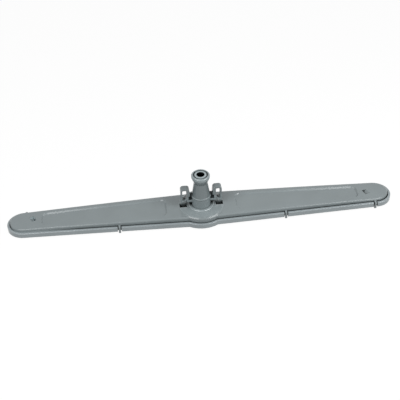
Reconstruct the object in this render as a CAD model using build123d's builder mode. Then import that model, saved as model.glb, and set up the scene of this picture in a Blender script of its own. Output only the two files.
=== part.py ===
"""Dishwasher spray arm: a two-part moulded arm that turns about a clip-on inlet hub.

The arm lies with its spray side down and its inlet stem up. X runs along the arm, Z along the stem.
"""

import os
from math import asin, atan2, copysign, cos, radians, sin, sqrt, tan

from build123d import *

# Plan of the arm, in millimetres
ARM_LENGTH = 470.0  # tip to tip
WAIST_HALF_WIDTH = 27.5  # radius at the middle that the straight edges touch
END_RADIUS = 20.0  # round tips
BULGE_RADIUS = 31.9  # round swelling of the plan about the hub
BULGE_BLEND = 4.0  # hollow where the swelling meets the straight edges

# Lower shell, a stepped tray whose rim shows as a ledge all round the arm
BELLY_DEPTH = 3.0
BELLY_INSET = 5.0
BELLY_BEVEL = 1.2
RIM_HEIGHT = 5.9
RIM_WIDTH = 2.7
RIM_BEVEL = 0.4
TRAY_WALL = 2.0

# Upper shell, a crowned cover that stands in the tray
LID_GROOVE = 1.1  # shadow groove between the rim and the skirt of the cover
LID_WALL = 2.0
RIDGE_RISE = 6.15  # ridge of the crown above the rim, at the middle
RIDGE_DROP = 2.7  # fall of the ridge from the middle to a tip
CROWN_RADIUS = 300.0  # across the arm
LID_ROUND = 1.8

# Flat panels sunk in the crown, one on each side of the hub
PANEL_START = 43.9
PANEL_TIP_DISTANCE = 43.0
PANEL_STRIP = 7.7  # from the edge of the cover to the flat floor
PANEL_SINK = 1.7  # floor below the ridge at either end
PANEL_WALL = 1.8
PANEL_CORNER = 5.0

# Deck, the flat round top of the swelling
DECK_RISE = 0.2  # above the ridge
DECK_RADIUS = 28.4
DECK_BEVEL = 1.3
LIP_WIDTH = 3.6  # raised ring round the stem
LIP_RISE = 1.0
LIP_BEVEL = 0.8
POCKET_START = 17.5  # pockets of the deck, under the latch clips
POCKET_END = 26.5
POCKET_WIDTH = 7.6
POCKET_DEPTH = 6.0

# End jets, a ramp that runs down to a slot through the cover
JET_TIP_DISTANCE = 31.0
JET_OFFSET = 1.7
JET_TURN = 23.0
JET_LENGTH = 6.2
JET_WIDTH = 8.6
JET_SLOT = 1.6
JET_DEPTH = 3.4
JET_PAD_RADIUS = 7.0  # thickening under the cover
JET_PAD_DEPTH = 2.0

# Edge hooks of the cover, which snap under the rim of the tray through notches
HOOK_STATION = 100.0  # from the hub, measured along a straight edge
HOOK_TIP_DISTANCE = 23.5
HOOK_WIDTH = 2.4
HOOK_THICKNESS = 2.2
HOOK_PROUD = 0.4  # outer face beyond the rim
HOOK_RISE = 1.3  # root on the skirt above the rim
HOOK_DROP = 2.3  # tip below the rim
HOOK_CATCH = 1.3
HOOK_CATCH_GAP = 0.1
HOOK_SIDE_GAP = 1.1

# Spray jets through the floor of the tray
SPRAY_START = 58.0
SPRAY_TIP_DISTANCE = 25.0
SPRAY_COUNT = 4  # on each side of the hub
SPRAY_OFFSET = 5.0
SPRAY_SLOT_LENGTH = 7.0
SPRAY_SLOT_WIDTH = 2.2
SPRAY_FUNNEL = 0.8  # bevel of the mouth
SPRAY_TURN = 25.0

# Bearing of the hub in the cover
JOURNAL_RADIUS = 10.6
RUN_CLEARANCE = 0.08  # round the journal
RUN_GAP = 0.3  # between turning faces along the axis
STEM_GAP = 0.4  # between the stem and the lip of the deck

# Inlet hub: stem and head, with heights above the deck
STEM_RADIUS = 11.4
COLLAR_HEIGHT = 15.1  # top of the step ring
COLLAR_THICKNESS = 1.2
COLLAR_PROUD = 0.6
CONE_FOOT_RADIUS = 11.1
NECK_RADIUS = 8.25
NECK_HEIGHT = 33.9
HEAD_RADIUS = 11.15
HEAD_FLARE_HEIGHT = 41.2
STEM_HEIGHT = 45.1
HEAD_BEVEL = 1.2
HEAD_GROOVE_RADIUS = 9.1
HEAD_GROOVE_DEPTH = 3.0
NOZZLE_RADIUS = 7.2  # inner tube in the head
NOZZLE_SETBACK = 0.2  # inner tube below the rim of the head
BORE_RADIUS = 4.8
BORE_LENGTH = 6.0
STEM_WALL = 1.6  # at the neck

# Latch clips beside the stem
CLIP_DEPTH = 8.0
CLIP_HEIGHT = 26.8  # above the deck
CLIP_ARCH = 1.9
CLIP_OUTER_RADIUS = 24.9
CLIP_OUTER_LEG = 2.1
CLIP_INNER_RADIUS = 17.8
CLIP_INNER_LEG = 2.3
CLIP_LEAD_RADIUS = 14.6  # start of the lead-in at the top
CLIP_NOSE_RADIUS = 13.7
CLIP_NOSE_HEIGHT = 19.5
CLIP_NOSE_FOOT = 15.6
CLIP_FOOT_TOP = 10.1
CLIP_FOOT_THICKNESS = 2.8
CLIP_STRIP_TOP = 13.0  # sloping strip that closes the loop, at the inner leg
CLIP_STRIP_FOOT = 7.5  # the same at the outer leg
CLIP_STRIP_THICKNESS = 2.0
CLIP_ROUND = 3.4
CLIP_WINDOW_ROUND = 1.2
CLIP_CORE_MARGIN = 1.2  # front bar left in front of the core opening
CLIP_RIB = 1.4  # web behind the foot

# Ring that holds the hub under the cover
RING_RADIUS = 14.5
RING_HEIGHT = 2.1
RING_STEP = 1.2  # seat of the ring on the journal
RING_CLEARANCE = 0.05
RING_TAIL = 0.4  # journal left below the ring

# Levels and places that follow
RIM_TOP = BELLY_DEPTH + RIM_HEIGHT
SKIRT_FOOT = BELLY_DEPTH + TRAY_WALL
LID_INSET = RIM_WIDTH + LID_GROOVE
RIDGE = RIM_TOP + RIDGE_RISE
DECK = RIDGE + DECK_RISE
OVERHEAD = DECK + LIP_RISE  # clear of the cover
ROOF_DEPTH = PANEL_SINK + PANEL_WALL
HALF_LENGTH = ARM_LENGTH / 2
END_CENTRE = HALF_LENGTH - END_RADIUS
TAPER = asin((WAIST_HALF_WIDTH - END_RADIUS) / END_CENTRE)
PANEL_END = HALF_LENGTH - PANEL_TIP_DISTANCE
SPRAY_PITCH = (HALF_LENGTH - SPRAY_TIP_DISTANCE - SPRAY_START) / (SPRAY_COUNT - 1)
BEARING_FOOT = DECK - POCKET_DEPTH - LID_WALL
LIP_BORE = STEM_RADIUS + STEM_GAP
STEM_FOOT = DECK + RUN_GAP
RING_TOP = BEARING_FOOT - RUN_GAP
RING_SEAT_RADIUS = JOURNAL_RADIUS - RING_STEP
TUBE_RADIUS = NECK_RADIUS - STEM_WALL
BORE_TOP = DECK + STEM_HEIGHT - NOZZLE_SETBACK

os.makedirs("parts", exist_ok=True)


def tapered_plan(inset):
    """Draw the tapered outline with round tips into the open sketch, set in by a distance."""
    Circle(WAIST_HALF_WIDTH - inset)
    with Locations((END_CENTRE, 0), (-END_CENTRE, 0)):
        Circle(END_RADIUS - inset)
    make_hull()


def arm_plan(sketch, inset):
    """Draw the arm's outline with its round swelling into the open sketch, set in by a distance."""
    tapered_plan(inset)
    Circle(BULGE_RADIUS - inset)
    corners = sketch.vertices().filter_by_position(Axis.X, -BULGE_RADIUS, BULGE_RADIUS)
    fillet(corners, BULGE_BLEND + inset)


def ridge_at(x):
    """Height of the crown's ridge at a place along the arm."""
    return RIDGE - RIDGE_DROP * (x / HALF_LENGTH) ** 2


def hook_planes():
    """Upright planes across the rim at each hook, with x outwards from the edge and y upwards."""
    planes = []
    for station in (-HOOK_STATION, HOOK_STATION, HALF_LENGTH - HOOK_TIP_DISTANCE):
        side = copysign(1, station)
        outward = Vector(side * sin(TAPER), -cos(TAPER), 0)
        along = Vector(cos(TAPER), side * sin(TAPER), 0)
        edge = outward * WAIST_HALF_WIDTH + along * station
        planes.append(Plane(origin=edge, x_dir=outward, z_dir=-along))
        planes.append(Plane(origin=-edge, x_dir=-outward, z_dir=along))
    return planes


# The crown: an arc across the arm that falls towards the tips
crown_sag = CROWN_RADIUS - sqrt(CROWN_RADIUS**2 - BULGE_RADIUS**2)
with BuildPart() as crown:
    for station in (-HALF_LENGTH, 0, HALF_LENGTH):
        top = ridge_at(station)
        shoulder = top - crown_sag
        with BuildSketch(Plane.YZ.offset(station)):
            with BuildLine():
                ThreePointArc((-BULGE_RADIUS, shoulder), (0, top), (BULGE_RADIUS, shoulder))
                Polyline(
                    (BULGE_RADIUS, shoulder),
                    (BULGE_RADIUS, BELLY_DEPTH),
                    (-BULGE_RADIUS, BELLY_DEPTH),
                    (-BULGE_RADIUS, shoulder),
                )
            make_face()
    loft()

# Water channel inside the skirt, under an even roof
with BuildPart() as channel:
    with BuildSketch(Plane.XY.offset(SKIRT_FOOT)) as channel_plan:
        arm_plan(channel_plan, LID_INSET + LID_WALL)
    extrude(amount=RIDGE - SKIRT_FOOT)
    add(Pos(0, 0, -ROOF_DEPTH) * crown.part, mode=Mode.INTERSECT)

# Sunk panel on the right: a flat floor that falls towards the tip, with walls at 45 degrees
panel_fall = atan2(ridge_at(PANEL_START) - ridge_at(PANEL_END), PANEL_END - PANEL_START)
floor_level = ridge_at(PANEL_START) - PANEL_SINK + PANEL_START * tan(panel_fall)
floor_plane = Plane(
    origin=(0, 0, floor_level),
    x_dir=(cos(panel_fall), 0, -sin(panel_fall)),
    z_dir=(sin(panel_fall), 0, cos(panel_fall)),
)
with BuildPart() as panel:
    for height in (0, 2 * PANEL_SINK):
        with BuildSketch(floor_plane.offset(height)) as panel_plan:
            tapered_plan(LID_INSET + PANEL_STRIP - height)
            with Locations(((PANEL_START + PANEL_END) / 2, 0)):
                Rectangle(PANEL_END - PANEL_START + 2 * height, 2 * WAIST_HALF_WIDTH, mode=Mode.INTERSECT)
            fillet(panel_plan.vertices(), PANEL_CORNER + height)
    loft()

# Deck with its bevelled edge
with BuildPart() as deck:
    with BuildSketch(Plane.XY.offset(SKIRT_FOOT)):
        Circle(DECK_RADIUS)
    extrude(amount=DECK - SKIRT_FOOT)
    chamfer(deck.faces().sort_by(Axis.Z)[-1].edges(), DECK_BEVEL)

with BuildPart() as upper_shell:
    # Crowned block with a rounded top edge
    with BuildSketch(Plane.XY.offset(SKIRT_FOOT)) as skirt_plan:
        arm_plan(skirt_plan, LID_INSET)
    extrude(amount=OVERHEAD - SKIRT_FOOT)
    add(crown.part, mode=Mode.INTERSECT)
    fillet(upper_shell.faces().sort_by(Axis.Z)[-1].edges(), LID_ROUND)

    # Deck, panels and water channel
    add(deck.part)
    add(panel.part, mode=Mode.SUBTRACT)
    add(mirror(panel.part, about=Plane.YZ), mode=Mode.SUBTRACT)
    add(channel.part, mode=Mode.SUBTRACT)

    # Bearing of the hub: pad under the deck, lip, pockets and bore
    with BuildSketch(Plane.XY.offset(BEARING_FOOT)):
        Circle(DECK_RADIUS)
    extrude(amount=DECK - DECK_BEVEL - BEARING_FOOT)
    with BuildSketch(Plane.XY.offset(DECK)):
        Circle(LIP_BORE + LIP_WIDTH)
    extrude(amount=LIP_RISE)
    chamfer(upper_shell.faces().sort_by(Axis.Z)[-1].edges(), LIP_BEVEL)
    with BuildSketch(Plane.XY.offset(DECK)):
        Circle(LIP_BORE)
    extrude(amount=LIP_RISE, mode=Mode.SUBTRACT)
    with BuildSketch(Plane.XY.offset(DECK - POCKET_DEPTH)):
        with Locations(((POCKET_START + POCKET_END) / 2, 0), (-(POCKET_START + POCKET_END) / 2, 0)):
            Rectangle(POCKET_END - POCKET_START, POCKET_WIDTH)
    extrude(amount=POCKET_DEPTH, mode=Mode.SUBTRACT)
    with BuildSketch(Plane.XY.offset(BEARING_FOOT)):
        Circle(JOURNAL_RADIUS + RUN_CLEARANCE)
    extrude(amount=DECK - BEARING_FOOT, mode=Mode.SUBTRACT)

    # End jets, the same way round after half a turn
    for turn in (JET_TURN, JET_TURN + 180):
        side = copysign(1, cos(radians(turn)))
        jet_x = side * (HALF_LENGTH - JET_TIP_DISTANCE)
        jet_y = -side * JET_OFFSET
        jet_top = ridge_at(jet_x)
        jet_foot = -ROOF_DEPTH - JET_PAD_DEPTH
        with BuildSketch(Plane.XY.offset(jet_top + jet_foot)):
            with Locations((jet_x, jet_y)):
                Circle(JET_PAD_RADIUS)
        extrude(amount=JET_PAD_DEPTH + PANEL_WALL)
        down_ramp = Vector(-cos(radians(turn)), -sin(radians(turn)), 0)
        across = Vector(-sin(radians(turn)), cos(radians(turn)), 0)
        with BuildSketch(Plane(origin=(jet_x, jet_y, jet_top), x_dir=down_ramp, z_dir=across)):
            with BuildLine():
                Polyline(
                    (-JET_LENGTH / 2, RIDGE_DROP),
                    (-JET_LENGTH / 2, 0),
                    (JET_LENGTH / 2 - JET_SLOT, -JET_DEPTH),
                    (JET_LENGTH / 2 - JET_SLOT, jet_foot),
                    (JET_LENGTH / 2, jet_foot),
                    (JET_LENGTH / 2, RIDGE_DROP),
                    close=True,
                )
            make_face()
        extrude(amount=JET_WIDTH / 2, both=True, mode=Mode.SUBTRACT)

    # Edge hooks
    for plane in hook_planes():
        with BuildSketch(plane):
            with BuildLine():
                Polyline(
                    (-LID_INSET - LID_WALL / 2, RIM_TOP + HOOK_RISE),
                    (-LID_INSET, RIM_TOP + HOOK_RISE),
                    (HOOK_PROUD, RIM_TOP + HOOK_PROUD),
                    (HOOK_PROUD, BELLY_DEPTH - HOOK_DROP + HOOK_PROUD),
                    (0, BELLY_DEPTH - HOOK_DROP),
                    (HOOK_PROUD - HOOK_THICKNESS, BELLY_DEPTH - HOOK_DROP),
                    (-RIM_WIDTH - HOOK_CATCH, BELLY_DEPTH - HOOK_CATCH_GAP - HOOK_PROUD),
                    (-RIM_WIDTH - HOOK_CATCH, BELLY_DEPTH - HOOK_CATCH_GAP),
                    (HOOK_PROUD - HOOK_THICKNESS, BELLY_DEPTH - HOOK_CATCH_GAP),
                    (HOOK_PROUD - HOOK_THICKNESS, RIM_TOP - HOOK_THICKNESS),
                    (-LID_INSET - LID_WALL / 2, RIM_TOP - HOOK_THICKNESS),
                    close=True,
                )
            make_face()
        extrude(amount=HOOK_WIDTH / 2, both=True)

with BuildPart() as lower_shell:
    # Rim and belly
    with BuildSketch(Plane.XY.offset(BELLY_DEPTH)) as rim_plan:
        arm_plan(rim_plan, 0)
    extrude(amount=RIM_HEIGHT)
    chamfer(lower_shell.faces().sort_by(Axis.Z)[-1].edges(), RIM_BEVEL)
    with BuildSketch() as belly_plan:
        arm_plan(belly_plan, BELLY_INSET)
    extrude(amount=BELLY_DEPTH)
    chamfer(lower_shell.faces().sort_by(Axis.Z)[0].edges(), BELLY_BEVEL)

    # Step that the skirt of the cover stands on, and the water channel
    with BuildSketch(Plane.XY.offset(SKIRT_FOOT)) as step_plan:
        arm_plan(step_plan, RIM_WIDTH)
    extrude(amount=RIM_TOP - SKIRT_FOOT, mode=Mode.SUBTRACT)
    with BuildSketch(Plane.XY.offset(TRAY_WALL)) as floor_plan:
        arm_plan(floor_plan, BELLY_INSET + TRAY_WALL)
    extrude(amount=SKIRT_FOOT - TRAY_WALL, mode=Mode.SUBTRACT)

    # Notches for the hooks
    for plane in hook_planes():
        with BuildSketch(plane):
            with Locations((-RIM_WIDTH, 0)):
                Rectangle(2 * RIM_WIDTH, RIM_TOP, align=(Align.MIN, Align.MIN))
        extrude(amount=HOOK_WIDTH / 2 + HOOK_SIDE_GAP, both=True, mode=Mode.SUBTRACT)

    # Spray jets: slots with a bevelled mouth, staggered about the middle line
    for side in (1, -1):
        for count in range(SPRAY_COUNT):
            spray_x = side * (SPRAY_START + count * SPRAY_PITCH)
            spray_y = side * SPRAY_OFFSET * (-1) ** count
            with BuildSketch():
                with Locations((spray_x, spray_y)):
                    SlotOverall(SPRAY_SLOT_LENGTH, SPRAY_SLOT_WIDTH, rotation=SPRAY_TURN * (-1) ** count)
            extrude(amount=TRAY_WALL, mode=Mode.SUBTRACT)
    mouths = lower_shell.faces().sort_by(Axis.Z)[0].inner_wires()
    chamfer(mouths.edges(), SPRAY_FUNNEL)

with BuildPart() as inlet_hub:
    # Stem, head and journal, turned about the inlet axis
    with BuildSketch(Plane.XZ) as hub_profile:
        with BuildLine():
            Polyline(
                (TUBE_RADIUS, RING_TOP - RING_HEIGHT - RING_TAIL),
                (RING_SEAT_RADIUS, RING_TOP - RING_HEIGHT - RING_TAIL),
                (RING_SEAT_RADIUS, RING_TOP),
                (JOURNAL_RADIUS, RING_TOP),
                (JOURNAL_RADIUS, STEM_FOOT),
                (STEM_RADIUS, STEM_FOOT),
                (STEM_RADIUS, DECK + COLLAR_HEIGHT - COLLAR_THICKNESS),
                (STEM_RADIUS + COLLAR_PROUD, DECK + COLLAR_HEIGHT - COLLAR_THICKNESS),
                (STEM_RADIUS + COLLAR_PROUD, DECK + COLLAR_HEIGHT),
                (CONE_FOOT_RADIUS, DECK + COLLAR_HEIGHT),
                (NECK_RADIUS, DECK + NECK_HEIGHT),
                (HEAD_RADIUS, DECK + HEAD_FLARE_HEIGHT),
                (HEAD_RADIUS, DECK + STEM_HEIGHT),
                (HEAD_GROOVE_RADIUS, DECK + STEM_HEIGHT),
                (HEAD_GROOVE_RADIUS, DECK + STEM_HEIGHT - HEAD_GROOVE_DEPTH),
                (NOZZLE_RADIUS, DECK + STEM_HEIGHT - HEAD_GROOVE_DEPTH),
                (NOZZLE_RADIUS, BORE_TOP),
                (BORE_RADIUS, BORE_TOP),
                (BORE_RADIUS, BORE_TOP - BORE_LENGTH),
                (TUBE_RADIUS, BORE_TOP - BORE_LENGTH),
                close=True,
            )
        make_face()
        head_rim = hub_profile.vertices().sort_by_distance((HEAD_RADIUS, DECK + STEM_HEIGHT))[0]
        chamfer(head_rim, HEAD_BEVEL)
    revolve(axis=Axis.Z)

    for side in (1, -1):
        # Latch clip: foot bar, inner leg with its nose, and a springy loop
        with BuildSketch(Plane.XZ.offset(-CLIP_DEPTH / 2)) as clip_side:
            with BuildLine():
                outline = [
                    (STEM_RADIUS - STEM_WALL / 2, CLIP_FOOT_TOP - CLIP_FOOT_THICKNESS),
                    (CLIP_INNER_RADIUS, CLIP_FOOT_TOP - CLIP_FOOT_THICKNESS),
                    (CLIP_INNER_RADIUS, CLIP_STRIP_TOP - CLIP_STRIP_THICKNESS),
                    (CLIP_OUTER_RADIUS, CLIP_STRIP_FOOT - CLIP_STRIP_THICKNESS),
                    (CLIP_OUTER_RADIUS, CLIP_HEIGHT),
                    (CLIP_LEAD_RADIUS, CLIP_HEIGHT),
                    (CLIP_NOSE_RADIUS, CLIP_NOSE_HEIGHT),
                    (CLIP_NOSE_RADIUS, CLIP_NOSE_FOOT),
                    (CLIP_INNER_RADIUS - CLIP_INNER_LEG, CLIP_NOSE_FOOT),
                    (CLIP_INNER_RADIUS - CLIP_INNER_LEG, CLIP_FOOT_TOP),
                    (STEM_RADIUS - STEM_WALL / 2, CLIP_FOOT_TOP),
                ]
                Polyline([(side * x, DECK + z) for x, z in outline], close=True)
            make_face()
            for radius in (CLIP_OUTER_RADIUS, CLIP_LEAD_RADIUS):
                corner = (side * radius, DECK + CLIP_HEIGHT)
                fillet(clip_side.vertices().sort_by_distance(corner)[0], CLIP_ROUND)
        extrude(amount=CLIP_DEPTH)

        # Window of the loop
        with BuildSketch(Plane.XZ.offset(-CLIP_DEPTH / 2)) as clip_window:
            with BuildLine():
                opening = [
                    (CLIP_INNER_RADIUS, CLIP_STRIP_TOP),
                    (CLIP_OUTER_RADIUS - CLIP_OUTER_LEG, CLIP_STRIP_FOOT),
                    (CLIP_OUTER_RADIUS - CLIP_OUTER_LEG, CLIP_HEIGHT - CLIP_ARCH),
                    (CLIP_INNER_RADIUS, CLIP_HEIGHT - CLIP_ARCH),
                ]
                Polyline([(side * x, DECK + z) for x, z in opening], close=True)
            make_face()
            fillet(clip_window.vertices(), CLIP_WINDOW_ROUND)
        extrude(amount=CLIP_DEPTH, mode=Mode.SUBTRACT)

        # Core opening of the nose through the foot bar, and the web behind it
        core_length = CLIP_INNER_RADIUS - CLIP_INNER_LEG - STEM_RADIUS - COLLAR_PROUD
        core_x = side * (STEM_RADIUS + COLLAR_PROUD + core_length / 2)
        with BuildSketch(Plane.XY.offset(DECK + CLIP_FOOT_TOP - CLIP_FOOT_THICKNESS)):
            with Locations((core_x, (CLIP_CORE_MARGIN - CLIP_RIB) / 2)):
                Rectangle(core_length, CLIP_DEPTH - CLIP_CORE_MARGIN - CLIP_RIB)
        extrude(amount=CLIP_FOOT_THICKNESS, mode=Mode.SUBTRACT)
        web_length = CLIP_INNER_RADIUS - STEM_RADIUS + STEM_WALL / 2
        with BuildSketch(Plane.XY.offset(OVERHEAD + RUN_GAP)):
            with Locations((side * (CLIP_INNER_RADIUS - web_length / 2), (CLIP_DEPTH - CLIP_RIB) / 2)):
                Rectangle(web_length, CLIP_RIB)
        extrude(amount=DECK + CLIP_NOSE_FOOT - OVERHEAD - RUN_GAP)

with BuildPart() as hub_ring:
    with BuildSketch(Plane.XY.offset(RING_TOP - RING_HEIGHT)):
        Circle(RING_RADIUS)
        Circle(RING_SEAT_RADIUS + RING_CLEARANCE, mode=Mode.SUBTRACT)
    extrude(amount=RING_HEIGHT)

upper_shell.part.label = "upper_shell"
lower_shell.part.label = "lower_shell"
inlet_hub.part.label = "inlet_hub"
hub_ring.part.label = "hub_ring"
export_step(upper_shell.part, "parts/upper_shell.step")
export_step(lower_shell.part, "parts/lower_shell.step")
export_step(inlet_hub.part, "parts/inlet_hub.step")
export_step(hub_ring.part, "parts/hub_ring.step")
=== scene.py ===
"""Looks of a dishwasher spray arm: moulded polypropylene finishes, a plain studio and the camera."""

import math

import bpy
from mathutils import Matrix, Vector


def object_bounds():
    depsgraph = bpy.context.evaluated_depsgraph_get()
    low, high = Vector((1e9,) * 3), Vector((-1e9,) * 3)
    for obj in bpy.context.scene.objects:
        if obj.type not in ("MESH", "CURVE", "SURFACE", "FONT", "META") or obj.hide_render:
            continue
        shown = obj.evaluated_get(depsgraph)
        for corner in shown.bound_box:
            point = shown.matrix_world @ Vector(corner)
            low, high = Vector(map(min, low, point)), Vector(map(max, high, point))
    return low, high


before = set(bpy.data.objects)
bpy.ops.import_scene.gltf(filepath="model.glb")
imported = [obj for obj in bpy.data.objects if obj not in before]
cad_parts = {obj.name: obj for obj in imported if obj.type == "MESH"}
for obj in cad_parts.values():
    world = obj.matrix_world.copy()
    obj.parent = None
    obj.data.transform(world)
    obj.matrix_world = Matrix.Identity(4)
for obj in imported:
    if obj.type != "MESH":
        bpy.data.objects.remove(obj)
cad_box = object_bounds()

MM = 0.001

# Camera, fitted to the edges of the arm in a square picture
PICTURE = 400.0  # pixels each way
VIEW_ELEVATION = 40.0  # degrees
VIEW_AZIMUTH = -5.42
VIEW_ROLL = -1.55
VIEW_DISTANCE = 1134.0 * MM
TARGET = Vector((0, 0, 3.0 * MM))  # on the inlet axis, level with the foot of the rim
TARGET_PIXEL = (201.42, 211.40)
FOCAL_PIXELS = 925.6
SENSOR = 36.0  # mm

# Light, at which a colour renders about as it is written: a dim dome and two softboxes in front
SKY_STRENGTH = 0.3
LAMPS = {  # degrees from straight in front, degrees above the floor, watts
    "softbox_left": (-49.0, 45.0, 1.95),
    "softbox_right": (58.0, 41.0, 2.2),
}
LAMP_DISTANCE = 0.65  # metres, as are the next three
LAMP_WIDTH = 0.4
LAMP_HEIGHT = 0.34
FLOOR_SIZE = 8.0
FLOOR_BOUNCE = "#a0a0a0"  # what the floor throws back on the object
FLOOR_GLOW = 0.94  # level that the floor keeps under the object
FLOOR_SHADE = "#505050"  # what the lamps add to that level, which the object shades

# Finishes
COVER_GREY = "#838c8e"
TRAY_GREY = "#98a1a4"
HUB_GREY = "#757e80"
POLYPROPYLENE_IOR = 1.49
CLOUD_SIZE = 35.0 * MM  # streaks left by the flow of the melt
CLOUD_SPAN = (0.3, 0.7)  # where most of the noise lies
CLOUD_TONES = (0.95, 1.05)
GRAIN_SIZE = 0.5 * MM  # coarser than a real moulding's, which is too fine to show
GRAIN_HEIGHT = 0.05 * MM
GRAIN_GLOSS = 0.06  # how far the grain shifts the roughness
EDGE_WEAR_AND_HIGHLIGHT = 1.2  # how much paler the edges are painted, as wear and as highlight
EDGE_TURN = (0.85, 0.995)  # cosine of the rounded edge's turn, from full paleness to none
EDGE_SAMPLES = 8
HOLLOW_SAMPLES = 8
HOLLOW_SHADE_TONE = 0.05  # tone of the deepest hollows, painted as shade
SHADE_LIFT_START = -190.0 * MM  # hollows are painted fully lighter to the left of this, lifting their painted shade
SHADE_LIFT_END = -150.0 * MM  # and not at all to the right of this
# Zones about the inlet axis, painted paler or darker to stand in for light and shade: measure, start and end
# of a step in millimetres, tone before and after it
COVER_LIGHT_ZONES = [
    ("radius", 27.0, 27.1, 1.22, 1.0),  # round deck painted paler, painted light where the stem shades it
    ("radius", 15.4, 15.5, 1.1, 1.0),  # lip round the stem painted paler, a painted highlight
]
HUB_LIGHT_ZONES = [
    ("height", 30.35, 30.45, 1.32, 1.0),  # foot of the stem painted paler, painted light on its shaded upright wall
    ("height", 51.0, 55.0, 1.0, 1.6),  # head painted paler, a painted highlight on its rounded rim
    ("radius", 7.2, 7.3, 1.25, 1.0),  # pale end of the inner tube
    ("radius", 4.9, 5.0, 0.02, 1.0),  # bore painted black, painted shade deep inside it
]


def linear(hex_colour):
    """An sRGB colour such as #808080 as linear red, green, blue and alpha."""
    channels = [int(hex_colour[i : i + 2], 16) / 255 for i in (1, 3, 5)]
    return [c / 12.92 if c <= 0.04045 else ((c + 0.055) / 1.055) ** 2.4 for c in channels] + [1.0]


def add_node(tree, kind, settings=None, feeds=(), **inputs):
    """Add a shader node with its settings, and set or link its inputs: feeds by place, the others by name."""
    new = tree.nodes.new(kind)
    for key, value in (settings or {}).items():
        setattr(new, key, value)
    named = {key.replace("_", " "): value for key, value in inputs.items()}
    for key, value in [*enumerate(feeds), *named.items()]:
        if isinstance(value, bpy.types.NodeSocket):
            tree.links.new(value, new.inputs[key])
        else:
            new.inputs[key].default_value = value
    return new


def new_material(name):
    """An empty node material and its tree."""
    material = bpy.data.materials.new(name)
    material.use_nodes = True
    material.node_tree.nodes.clear()
    return material, material.node_tree


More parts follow.
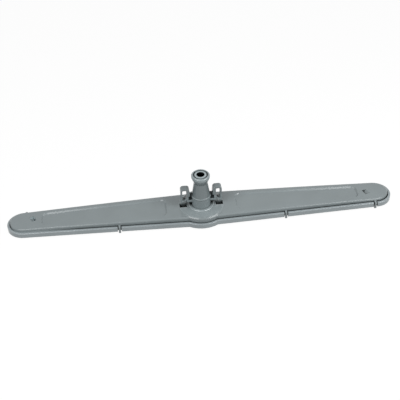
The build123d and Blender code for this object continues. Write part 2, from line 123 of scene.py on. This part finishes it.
def moulded_polypropylene(name, colour, roughness, grain, edge, reach, closed, clear, left_end_hollow_tone, light_zones):
    """Grey injection-moulded polypropylene: satin, faintly clouded and grained, with edges painted paler as
    wear and as highlight.

    grain is the strength of the surface grain, and edge the rounding of the edges in millimetres.
    Hollows are painted darker, as shade, with the share of open air within reach millimetres, from closed to
    clear.
    The left-end argument is the tone painted into the deepest hollows at the left end, which lifts their
    painted shade there.
    The zones are steps of tone by radius or height about the inlet axis, painted as light and shade.
    """
    material, tree = new_material(name)
    place = add_node(tree, "ShaderNodeTexCoord").outputs["Object"]
    place_parts = add_node(tree, "ShaderNodeSeparateXYZ", Vector=place)

    # Flow clouds that shift the grey a little
    clouds = add_node(tree, "ShaderNodeTexNoise", Vector=place, Scale=1 / CLOUD_SIZE, Detail=3.0)
    tint = add_node(
        tree,
        "ShaderNodeMapRange",
        Value=clouds.outputs["Fac"],
        From_Min=CLOUD_SPAN[0],
        From_Max=CLOUD_SPAN[1],
        To_Min=CLOUD_TONES[0],
        To_Max=CLOUD_TONES[1],
    )

    # Narrow gaps, bores and pockets are painted dark as shade, and at the left end this painted shade is
    # lifted to a paler tone
    closed_hollow_tone = add_node(
        tree,
        "ShaderNodeMapRange",
        Value=place_parts.outputs["X"],
        From_Min=SHADE_LIFT_START,
        From_Max=SHADE_LIFT_END,
        To_Min=left_end_hollow_tone,
        To_Max=HOLLOW_SHADE_TONE,
    )
    openness = add_node(
        tree, "ShaderNodeAmbientOcclusion", {"samples": HOLLOW_SAMPLES}, Distance=reach * MM
    )
    painted_hollow_shade = add_node(
        tree,
        "ShaderNodeMapRange",
        Value=openness.outputs["AO"],
        From_Min=closed,
        From_Max=clear,
        To_Min=closed_hollow_tone.outputs["Result"],
    )

    # Edges are rounded off in the shading normals and catch the light, and are painted paler, partly as wear
    # and partly as a painted highlight
    rounding = add_node(tree, "ShaderNodeBevel", {"samples": EDGE_SAMPLES}, Radius=edge * MM)
    mesh_normal = add_node(tree, "ShaderNodeNewGeometry").outputs["Normal"]
    turn = add_node(
        tree,
        "ShaderNodeVectorMath",
        {"operation": "DOT_PRODUCT"},
        feeds=[rounding.outputs["Normal"], mesh_normal],
    )
    wear_and_highlight = add_node(
        tree,
        "ShaderNodeMapRange",
        Value=turn.outputs["Value"],
        From_Min=EDGE_TURN[0],
        From_Max=EDGE_TURN[1],
        To_Min=EDGE_WEAR_AND_HIGHLIGHT,
        To_Max=1.0,
    )

    # Zones about the inlet axis painted darker or paler, as painted shade and painted light
    tones = [painted_hollow_shade, wear_and_highlight]
    level = add_node(tree, "ShaderNodeVectorMath", {"operation": "MULTIPLY"}, feeds=[place, (1, 1, 0)])
    radius = add_node(tree, "ShaderNodeVectorMath", {"operation": "LENGTH"}, feeds=[level.outputs[0]])
    measures = {"radius": radius.outputs["Value"], "height": place_parts.outputs["Z"]}
    for measure, start, end, tone_before, tone_after in light_zones:
        zone = add_node(
            tree,
            "ShaderNodeMapRange",
            Value=measures[measure],
            From_Min=start * MM,
            From_Max=end * MM,
            To_Min=tone_before,
            To_Max=tone_after,
        )
        tones.append(zone)

    # All the tones together brighten or darken the grey
    value = tint.outputs["Result"]
    for tone in tones:
        factors = [value, tone.outputs["Result"]]
        value = add_node(tree, "ShaderNodeMath", {"operation": "MULTIPLY"}, feeds=factors).outputs[0]
    shade = add_node(tree, "ShaderNodeHueSaturation", Value=value, Color=linear(colour))

    # Spark-eroded grain that breaks up the gloss
    speckle = add_node(tree, "ShaderNodeTexNoise", Vector=place, Scale=1 / GRAIN_SIZE, Detail=2.0)
    gloss = add_node(
        tree,
        "ShaderNodeMapRange",
        Value=speckle.outputs["Fac"],
        To_Min=roughness - GRAIN_GLOSS,
        To_Max=roughness + GRAIN_GLOSS,
    )
    bump = add_node(
        tree,
        "ShaderNodeBump",
        Height=speckle.outputs["Fac"],
        Strength=grain,
        Distance=GRAIN_HEIGHT,
        Normal=rounding.outputs["Normal"],
    )
    plastic = add_node(
        tree,
        "ShaderNodeBsdfPrincipled",
        Base_Color=shade.outputs["Color"],
        Roughness=gloss.outputs["Result"],
        Normal=bump.outputs["Normal"],
        IOR=POLYPROPYLENE_IOR,
    )
    add_node(tree, "ShaderNodeOutputMaterial", Surface=plastic.outputs["BSDF"])
    return material


def paint(node, material):
    """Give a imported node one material."""
    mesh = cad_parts[node].data
    mesh.materials.clear()
    mesh.materials.append(material)


def seen_white(tree):
    """1 for the rays that show the studio itself, straight, mirrored or through a clear piece, else 0."""
    rays = add_node(tree, "ShaderNodeLightPath")
    seen = rays.outputs["Is Camera Ray"]
    for kind in ("Is Glossy Ray", "Is Transmission Ray"):
        either = [seen, rays.outputs[kind]]
        seen = add_node(tree, "ShaderNodeMath", {"operation": "MAXIMUM"}, feeds=either).outputs[0]
    return seen


def studio_floor():
    """A white floor that keeps a pale share of the object's shadow."""
    half = FLOOR_SIZE / 2
    corners = [(-half, -half, 0), (half, -half, 0), (half, half, 0), (-half, half, 0)]
    mesh = bpy.data.meshes.new("floor")
    mesh.from_pydata(corners, [], [(0, 1, 2, 3)])
    floor = bpy.data.objects.new("floor", mesh)
    bpy.context.collection.objects.link(floor)
    floor.location.z = cad_box[0][2]
    material, tree = new_material("matt_white_paper")
    shade = add_node(tree, "ShaderNodeBsdfDiffuse", Color=linear(FLOOR_SHADE))
    bounce = add_node(tree, "ShaderNodeBsdfDiffuse", Color=linear(FLOOR_BOUNCE))
    glow = add_node(tree, "ShaderNodeEmission", Strength=FLOOR_GLOW)
    shaded = add_node(tree, "ShaderNodeAddShader", feeds=[glow.outputs[0], shade.outputs[0]])
    paper = add_node(
        tree,
        "ShaderNodeMixShader",
        feeds=[seen_white(tree), bounce.outputs[0], shaded.outputs[0]],
    )
    add_node(tree, "ShaderNodeOutputMaterial", Surface=paper.outputs[0])
    mesh.materials.append(material)


def studio_sky():
    """An even white surround that lights softly and shows as white behind the floor."""
    world = bpy.data.worlds.new("studio")
    bpy.context.scene.world = world
    world.use_nodes = True
    tree = world.node_tree
    tree.nodes.clear()
    level = add_node(tree, "ShaderNodeMapRange", Value=seen_white(tree), To_Min=SKY_STRENGTH, To_Max=1.0)
    sky = add_node(tree, "ShaderNodeBackground", Color=(1, 1, 1, 1), Strength=level.outputs["Result"])
    add_node(tree, "ShaderNodeOutputWorld", Surface=sky.outputs[0])


def direction(turn, rise):
    """The way from the object to a place, in degrees from straight in front and degrees up."""
    around = math.radians(turn)
    height = math.radians(rise)
    return Vector(
        (
            math.sin(around) * math.cos(height),
            -math.cos(around) * math.cos(height),
            math.sin(height),
        )
    )


def softbox(name, turn, rise, power):
    """A softbox in front of the object, turned to one side, that faces it."""
    away = direction(turn, rise)
    light = bpy.data.lights.new(name, "AREA")
    light.shape = "RECTANGLE"
    light.size = LAMP_WIDTH
    light.size_y = LAMP_HEIGHT
    light.energy = power
    lamp = bpy.data.objects.new(name, light)
    bpy.context.collection.objects.link(lamp)
    lamp.location = TARGET + away * LAMP_DISTANCE
    lamp.rotation_euler = (-away).to_track_quat("-Z", "Y").to_euler()


def camera():
    """The camera of the photograph: a longish lens above the front edge, turned and rolled a little."""
    azimuth = math.radians(VIEW_AZIMUTH)
    roll = math.radians(VIEW_ROLL)
    back = direction(VIEW_AZIMUTH, VIEW_ELEVATION)
    level_right = Vector((math.cos(azimuth), math.sin(azimuth), 0))
    level_up = back.cross(level_right)
    right = level_right * math.cos(roll) + level_up * math.sin(roll)
    up = back.cross(right)
    data = bpy.data.cameras.new("camera")
    data.sensor_width = SENSOR
    data.lens = FOCAL_PIXELS / PICTURE * SENSOR
    data.shift_x = 0.5 - TARGET_PIXEL[0] / PICTURE
    data.shift_y = TARGET_PIXEL[1] / PICTURE - 0.5
    eye = bpy.data.objects.new("camera", data)
    bpy.context.collection.objects.link(eye)
    turn = Matrix((right, up, back)).transposed().to_4x4()
    eye.matrix_world = Matrix.Translation(TARGET + back * VIEW_DISTANCE) @ turn
    bpy.context.scene.camera = eye


# Each finish paints shade into its hollows; the left-end tone lifts that painted shade at the left end
cover_finish = moulded_polypropylene(
    "grained_polypropylene_cover",
    COVER_GREY,
    roughness=0.2,
    grain=0.2,
    edge=0.2,
    reach=8.0,
    closed=0.34,
    clear=0.66,
    left_end_hollow_tone=2.1,
    light_zones=COVER_LIGHT_ZONES,
)
tray_finish = moulded_polypropylene(
    "grained_polypropylene_tray",
    TRAY_GREY,
    roughness=0.2,
    grain=0.2,
    edge=0.4,
    reach=8.0,
    closed=0.36,
    clear=0.68,
    left_end_hollow_tone=0.4,
    light_zones=[],
)
hub_finish = moulded_polypropylene(
    "smooth_polypropylene_hub",
    HUB_GREY,
    roughness=0.22,
    grain=0.12,
    edge=1.2,
    reach=40.0,
    closed=0.2,
    clear=0.35,
    left_end_hollow_tone=HOLLOW_SHADE_TONE,
    light_zones=HUB_LIGHT_ZONES,
)
paint("upper_shell", cover_finish)
paint("lower_shell", tray_finish)
paint("inlet_hub", hub_finish)
paint("hub_ring", hub_finish)

studio_floor()
studio_sky()
for lamp_name, lamp_setting in LAMPS.items():
    softbox(lamp_name, *lamp_setting)
camera()
bpy.context.scene.view_settings.view_transform = "Standard"
